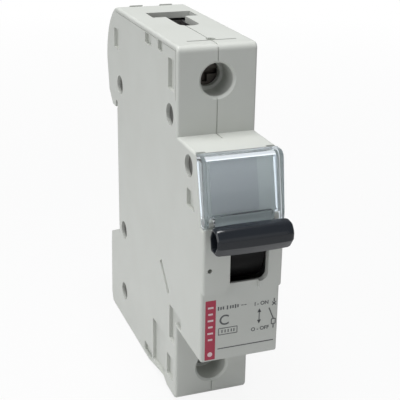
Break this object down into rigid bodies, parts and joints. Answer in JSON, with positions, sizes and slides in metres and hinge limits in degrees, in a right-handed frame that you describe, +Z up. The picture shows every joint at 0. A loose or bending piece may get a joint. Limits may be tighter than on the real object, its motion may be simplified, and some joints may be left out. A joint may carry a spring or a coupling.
{
  "type": "circuit breaker",
  "caption": "Single-pole modular breaker for a 35 mm rail, with a bar toggle, a clear hinged label window, screw clamp terminals and sliding rail claws.",
  "frame": {"origin": "centre of the rail seat, on the plane that rests on the rail's lips, halfway between the rail's edges and halfway across the width", "axes": "+X across the module's width, to the right seen from the front; +Y from the toggle towards the rail; +Z up"},
  "size_m": [0.0176, 0.0784, 0.0843],
  "materials": {
    "casing_plastic": "fine moulded texture, warm light grey",
    "claw_plastic": "fine moulded texture, light grey",
    "toggle_plastic": "polished black",
    "window_plastic": "clear moulded plastic with a pale blue cast",
    "bobbin_plastic": "natural moulded plastic",
    "mechanism_plastic": "glass-filled moulded plastic",
    "arc_board": "pressed insulating board",
    "zinc_steel": "zinc plated",
    "spring_steel": "drawn spring wire",
    "bare_steel": "stamped",
    "plated_copper": "tin plated copper",
    "bare_copper": "bright copper",
    "enamel_wire": "enamelled copper wire",
    "silver_contact": "silver alloy"
  },
  "bodies": {
    "housing": {"casing_left": "casing_plastic", "casing_right": "casing_plastic", "casing_rivets": "zinc_steel", "toggle_pin": "bare_steel", "toggle_spring": "spring_steel", "carrier_pin": "bare_steel", "fixed_contact_tip": "silver_contact", "fixed_contact_strip": "bare_copper", "arc_plates": "bare_steel", "arc_cheek_left": "arc_board", "arc_cheek_right": "arc_board", "solenoid_bobbin": "bobbin_plastic", "solenoid_coil": "enamel_wire", "solenoid_yoke": "zinc_steel", "plunger_spring": "spring_steel", "trip_pin": "bare_steel", "trip_spring": "spring_steel", "upper_terminal_plate": "plated_copper", "lower_terminal_plate": "plated_copper", "bimetal_strip": "bare_steel", "calibration_screw": "zinc_steel", "flexible_braid": "bare_copper"},
    "toggle": {"toggle_lever": "toggle_plastic"},
    "link": {"link_rod": "zinc_steel"},
    "carrier": {"contact_carrier": "mechanism_plastic", "moving_contact_arm": "bare_copper", "moving_contact_tip": "silver_contact", "contact_spring": "spring_steel"},
    "trip": {"trip_lever": "mechanism_plastic"},
    "plunger": {"solenoid_plunger": "bare_steel"},
    "upper_claw": {"upper_rail_claw": "claw_plastic"},
    "lower_claw": {"lower_rail_claw": "claw_plastic"},
    "window": {"label_window": "window_plastic"},
    "upper_screw": {"upper_terminal_screw": "zinc_steel"},
    "upper_cage": {"upper_clamp_cage": "zinc_steel"},
    "lower_screw": {"lower_terminal_screw": "zinc_steel"},
    "lower_cage": {"lower_clamp_cage": "zinc_steel"}
  },
  "joints": [
    {"name": "toggle_hinge", "type": "hinge", "parent": "housing", "child": "toggle", "pos_m": [0, -0.0545, 0.001], "axis": [1, 0, 0], "range_deg": [0, 48]},
    {"name": "link_hinge", "type": "hinge", "parent": "toggle", "child": "link", "pos_m": [0, -0.05172, -0.00096], "axis": [1, 0, 0], "range_deg": [-53.8, 0]},
    {"name": "carrier_hinge", "type": "hinge", "parent": "housing", "child": "carrier", "pos_m": [0, -0.0345, -0.006], "axis": [1, 0, 0], "range_deg": [-21.7, 0], "deforming": ["flexible_braid"]},
    {"name": "plunger_slide", "type": "slide", "parent": "housing", "child": "plunger", "axis": [0, -1, 0], "range_m": [0, 0.0016], "stiffness_N_per_m": 120, "springref_m": -0.002, "deforming": ["plunger_spring"]},
    {"name": "trip_hinge", "type": "hinge", "parent": "housing", "child": "trip", "pos_m": [0, -0.0398, 0.0085], "axis": [1, 0, 0], "range_deg": [0, 11.5]},
    {"name": "upper_claw_slide", "type": "slide", "parent": "housing", "child": "upper_claw", "axis": [0, 0, 1], "range_m": [0, 0.0059]},
    {"name": "lower_claw_slide", "type": "slide", "parent": "housing", "child": "lower_claw", "axis": [0, 0, -1], "range_m": [0, 0.0059]},
    {"name": "window_hinge", "type": "hinge", "parent": "housing", "child": "window", "pos_m": [0, -0.06215, 0.0091], "axis": [1, 0, 0], "range_deg": [0, 48]},
    {"name": "upper_screw_turn", "type": "hinge", "parent": "housing", "child": "upper_screw", "pos_m": [0, -0.0365, 0.034], "axis": [0, 1, 0], "range_deg": [0, 2520]},
    {"name": "upper_cage_slide", "type": "slide", "parent": "housing", "child": "upper_cage", "axis": [0, -1, 0], "range_m": [0, 0.0056]},
    {"name": "lower_screw_turn", "type": "hinge", "parent": "housing", "child": "lower_screw", "pos_m": [0, -0.0365, -0.034], "axis": [0, 1, 0], "range_deg": [0, 2520]},
    {"name": "lower_cage_slide", "type": "slide", "parent": "housing", "child": "lower_cage", "axis": [0, -1, 0], "range_m": [0, 0.0056]}
  ],
  "couplings": [
    {"joint": "link_hinge", "follows": "toggle_hinge", "ratio": -1.12},
    {"joint": "carrier_hinge", "follows": "toggle_hinge", "ratio": -0.45},
    {"joint": "trip_hinge", "follows": "plunger_slide", "rad_per_m": 125},
    {"joint": "upper_screw_turn", "follows": "upper_cage_slide", "rad_per_m": 7854},
    {"joint": "lower_screw_turn", "follows": "lower_cage_slide", "rad_per_m": 7854}
  ]
}
